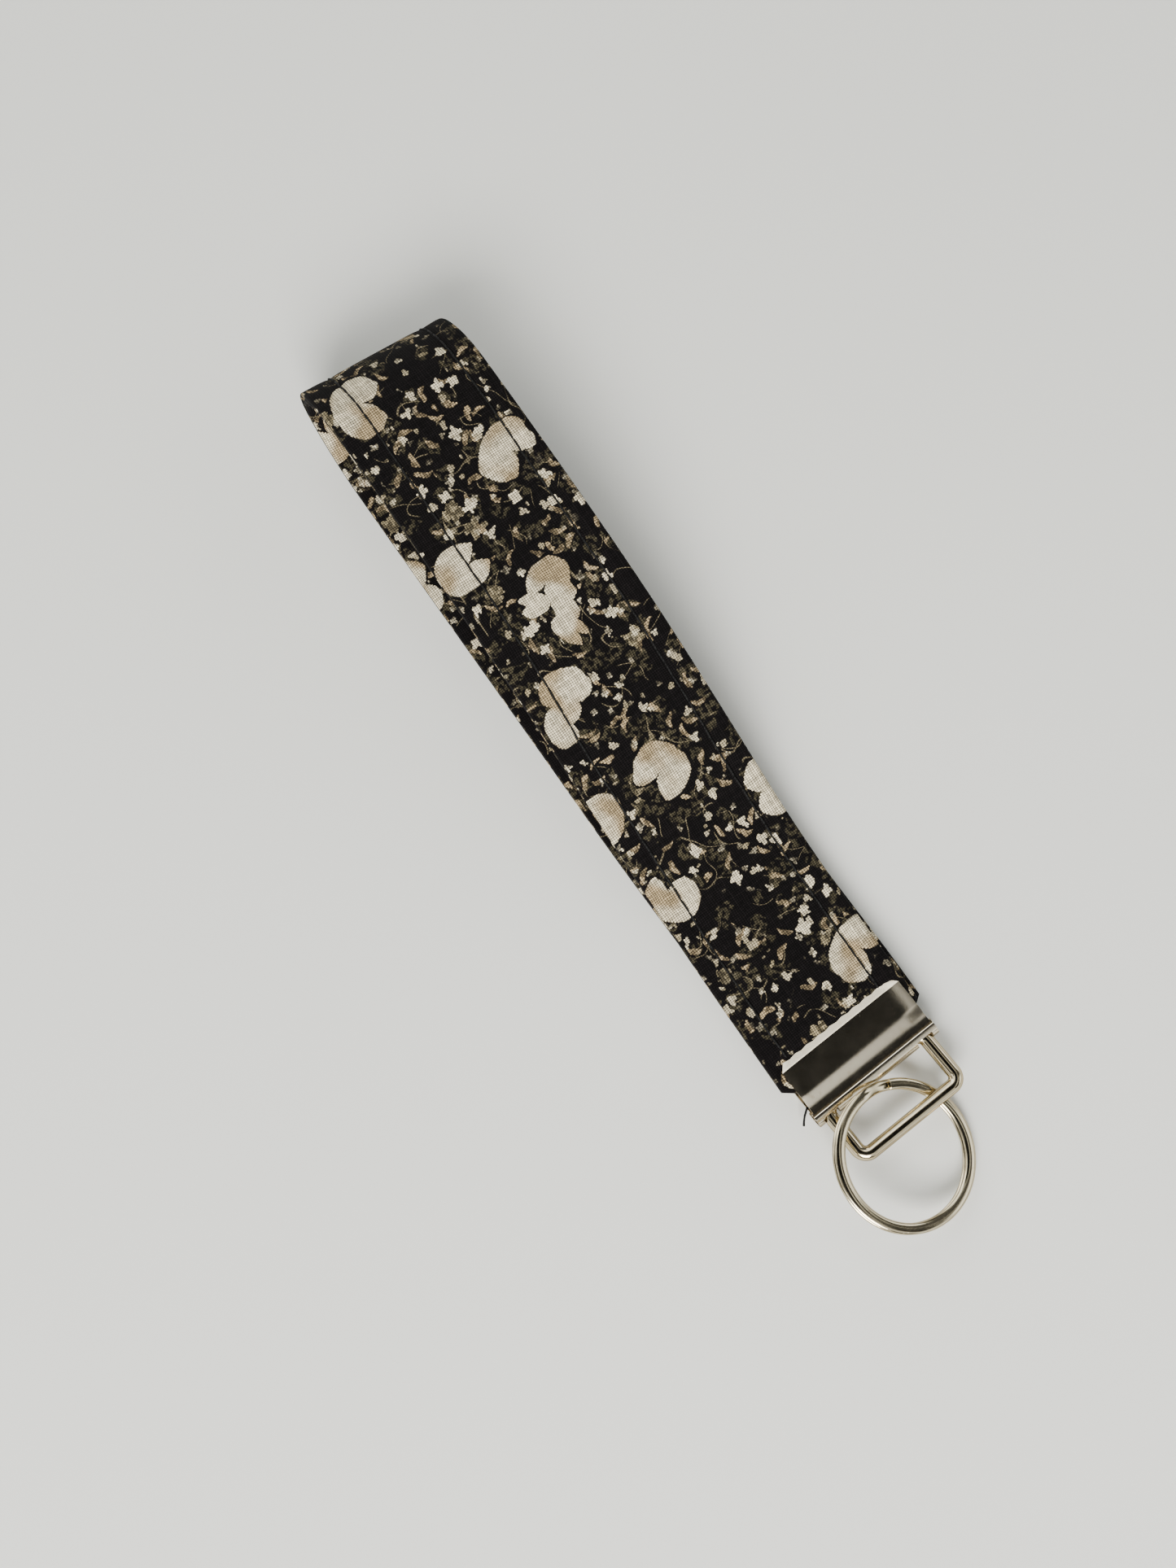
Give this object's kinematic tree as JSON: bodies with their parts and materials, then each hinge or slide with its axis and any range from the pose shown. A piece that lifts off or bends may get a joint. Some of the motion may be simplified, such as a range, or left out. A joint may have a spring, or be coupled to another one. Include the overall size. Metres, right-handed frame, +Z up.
{
  "type": "wristlet keychain",
  "caption": "Wrist strap keychain: a folded, topstitched cotton band crimped in a metal clamp, with a swinging wire loop and a split ring for keys.",
  "frame": {"origin": "middle of the whole object's box, on the surface that it lies on", "axes": "+Y along the strap from the split ring to the fold, +X across the strap to the right seen from above, +Z up from the surface through the flat strap"},
  "size_m": [0.0298, 0.1762, 0.0224],
  "materials": {
    "printed_cotton": "plain-weave cotton, near-black brown with cream and taupe flowers",
    "stiffener": "felted interfacing",
    "sewing_thread": "black polyester thread",
    "nickel_sheet": "warm polished nickel plate, lightly scuffed",
    "nickel_wire": "warm polished nickel plate",
    "nickel_ring": "warm polished nickel plate"
  },
  "bodies": {
    "strap_and_clamp": {"strap_sleeve": "printed_cotton", "strap_core": "stiffener", "topstitch_left": "sewing_thread", "topstitch_right": "sewing_thread", "bobbin_thread_left": "sewing_thread", "bobbin_thread_right": "sewing_thread", "clamp": "nickel_sheet"},
    "loop": {"wire_loop": "nickel_wire"},
    "ring": {"split_ring": "nickel_ring"}
  },
  "joints": [
    {"name": "loop_swing", "type": "hinge", "parent": "strap_and_clamp", "child": "loop", "pos_m": [0.00159, -0.06126, 0.0028], "axis": [0.9985, 0.0541, 0], "range_deg": [-8, 22.5]},
    {"name": "ring_swing", "type": "hinge", "parent": "loop", "child": "ring", "pos_m": [0.00213, -0.07123, 0.00428], "axis": [0.9985, 0.0541, 0], "range_deg": [0, 130]}
  ]
}
